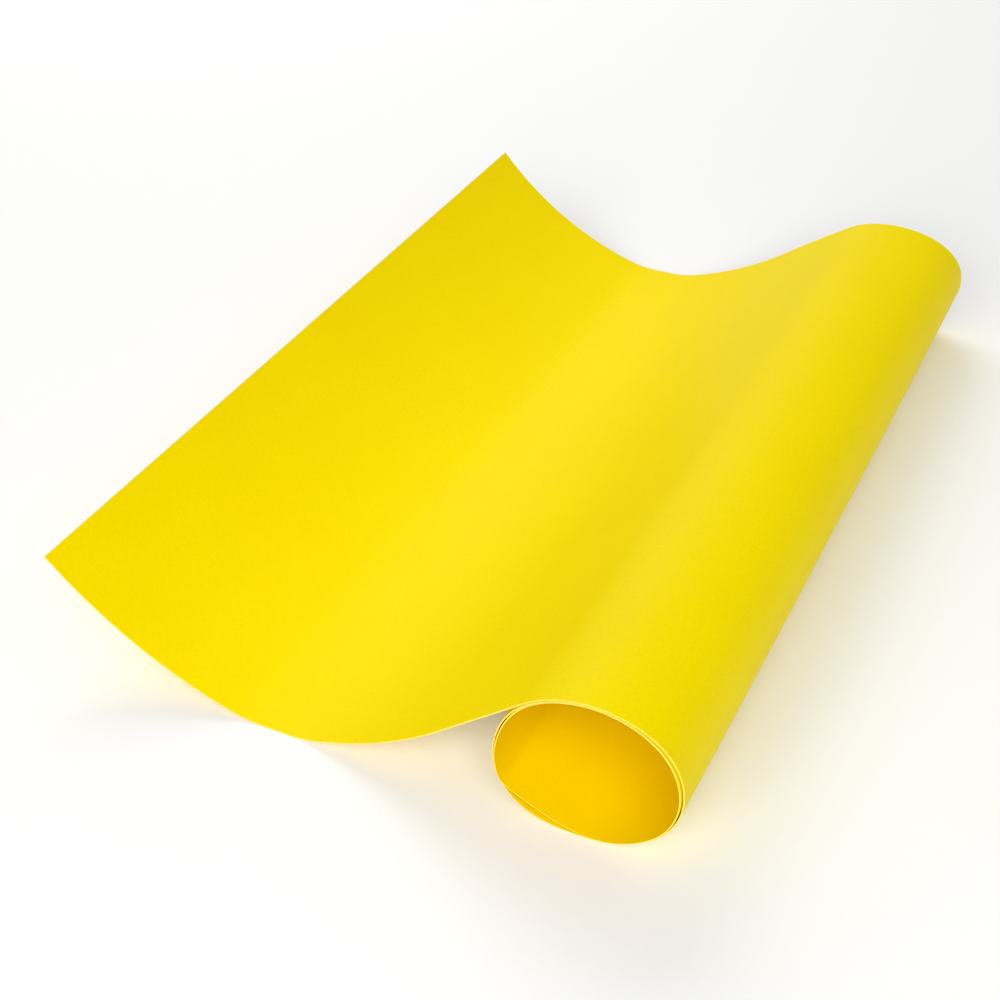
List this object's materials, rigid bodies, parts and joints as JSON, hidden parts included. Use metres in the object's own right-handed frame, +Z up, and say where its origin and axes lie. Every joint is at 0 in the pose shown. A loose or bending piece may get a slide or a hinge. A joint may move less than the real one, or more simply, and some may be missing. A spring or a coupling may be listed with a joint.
{
  "type": "roll of sign vinyl",
  "caption": "Part-unrolled roll of self-adhesive sign vinyl: curled free end, flat strip on the table, rise and coreless oval roll, in film, adhesive and liner layers.",
  "frame": {"origin": "centre of the bounding box's base, on the table", "axes": "+Y along the roll's axis and the web's width, away from the near end; +X from the free leading edge towards the roll; +Z up"},
  "size_m": [0.1968, 0.3012, 0.0475],
  "materials": {
    "face_film": "matte calendered PVC film, bright yellow",
    "adhesive": "clear acrylic adhesive over the yellow film",
    "liner": "smooth clear polyester release film, yellow from the vinyl behind it"
  },
  "bodies": {
    "laid_strip": {"liner_laid": "liner", "adhesive_laid": "adhesive", "film_laid": "face_film"},
    "free_end": {"liner_free": "liner", "adhesive_free": "adhesive", "film_free": "face_film"},
    "leading_end": {"liner_leading": "liner", "adhesive_leading": "adhesive", "film_leading": "face_film"},
    "peeled_film": {"film_peel": "face_film", "adhesive_peel": "adhesive"},
    "rise": {"liner_rise": "liner", "adhesive_rise": "adhesive", "film_rise": "face_film"},
    "outer_lap": {"liner_outer_lap": "liner", "adhesive_outer_lap": "adhesive", "film_outer_lap": "face_film"},
    "inner_lap": {"liner_inner_lap": "liner", "adhesive_inner_lap": "adhesive", "film_inner_lap": "face_film"}
  },
  "joints": [
    {"name": "free_end_bend", "type": "hinge", "parent": "laid_strip", "child": "free_end", "pos_m": [-0.04024, 0, 0.00202], "axis": [0, 1, 0], "range_deg": [-17, 40], "stiffness_Nm_per_rad": 0.07, "springref_deg": 2.58},
    {"name": "leading_end_curl", "type": "hinge", "parent": "free_end", "child": "leading_end", "pos_m": [-0.05664, 0, 0.00841], "axis": [0, 1, 0], "range_deg": [-20, 30], "stiffness_Nm_per_rad": 0.07, "springref_deg": 1.26},
    {"name": "film_peel_back", "type": "hinge", "parent": "leading_end", "child": "peeled_film", "pos_m": [-0.06716, 0, 0.01413], "axis": [0, 1, 0], "range_deg": [0, 110]},
    {"name": "roll_lift", "type": "hinge", "parent": "laid_strip", "child": "rise", "pos_m": [-0.01176, 0, 0.00129], "axis": [0, -1, 0], "range_deg": [0, 40]},
    {"name": "roll_turn", "type": "hinge", "parent": "rise", "child": "outer_lap", "pos_m": [0.07075, 0, 0.02374], "axis": [0, 1, 0], "range_deg": [0, 12], "stiffness_Nm_per_rad": 0.06},
    {"name": "inner_lap_slip", "type": "slide", "parent": "outer_lap", "child": "inner_lap", "axis": [0, -1, 0], "range_m": [-0.01, 0.015]}
  ]
}
